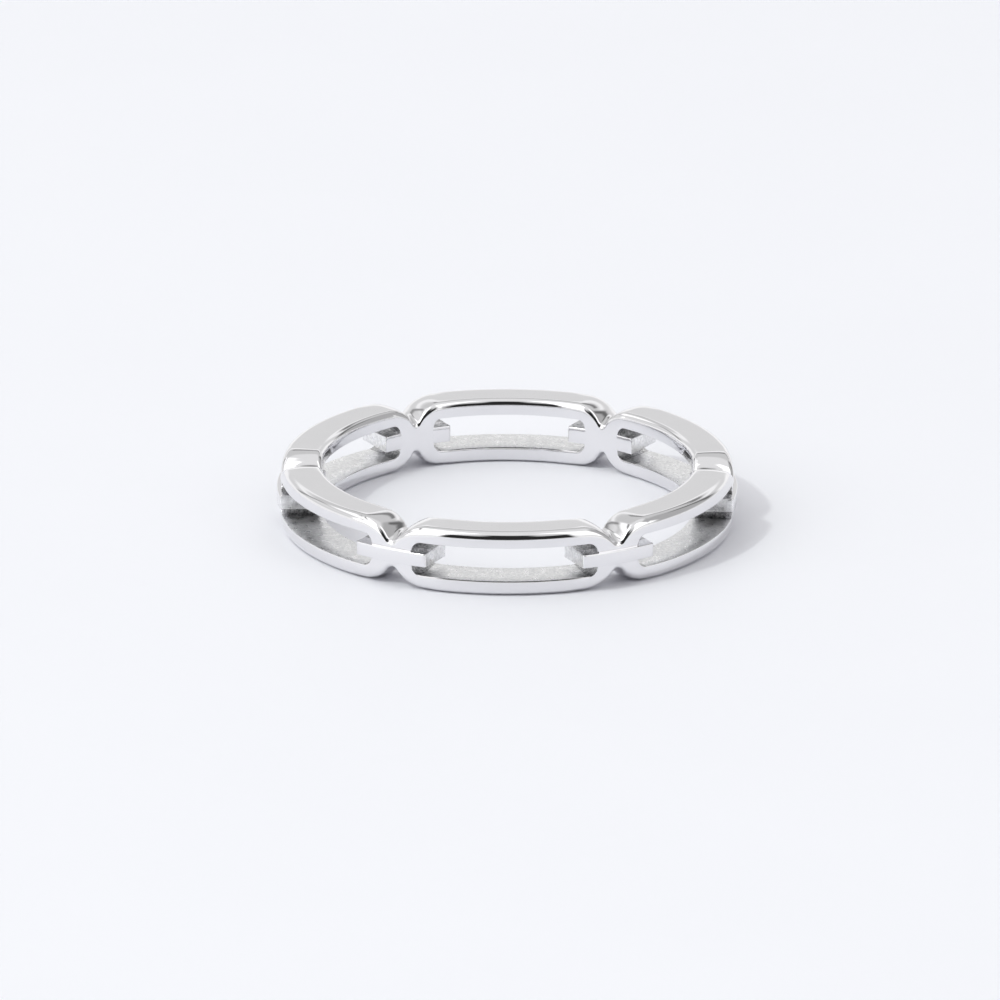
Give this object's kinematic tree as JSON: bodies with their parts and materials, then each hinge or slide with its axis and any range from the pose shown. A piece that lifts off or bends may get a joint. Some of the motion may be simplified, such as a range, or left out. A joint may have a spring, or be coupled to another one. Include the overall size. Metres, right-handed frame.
{
  "type": "chain link ring",
  "caption": "Rigid finger ring in the form of a paperclip chain: long pierced links joined end to end by short connectors.",
  "frame": {"origin": "centre of the ring, on the plane that it lies on", "axes": "+Z along the finger, up out of the surface; -Y towards the middle of the link that faces the camera; +X to the camera's right, through a joint between two links"},
  "size_m": [0.0214, 0.0212, 0.0031],
  "materials": {
    "polished_silver": "mirror polished, as rhodium plated silver"
  },
  "bodies": {
    "root": {"chain_band": "polished_silver"}
  },
  "joints": []
}
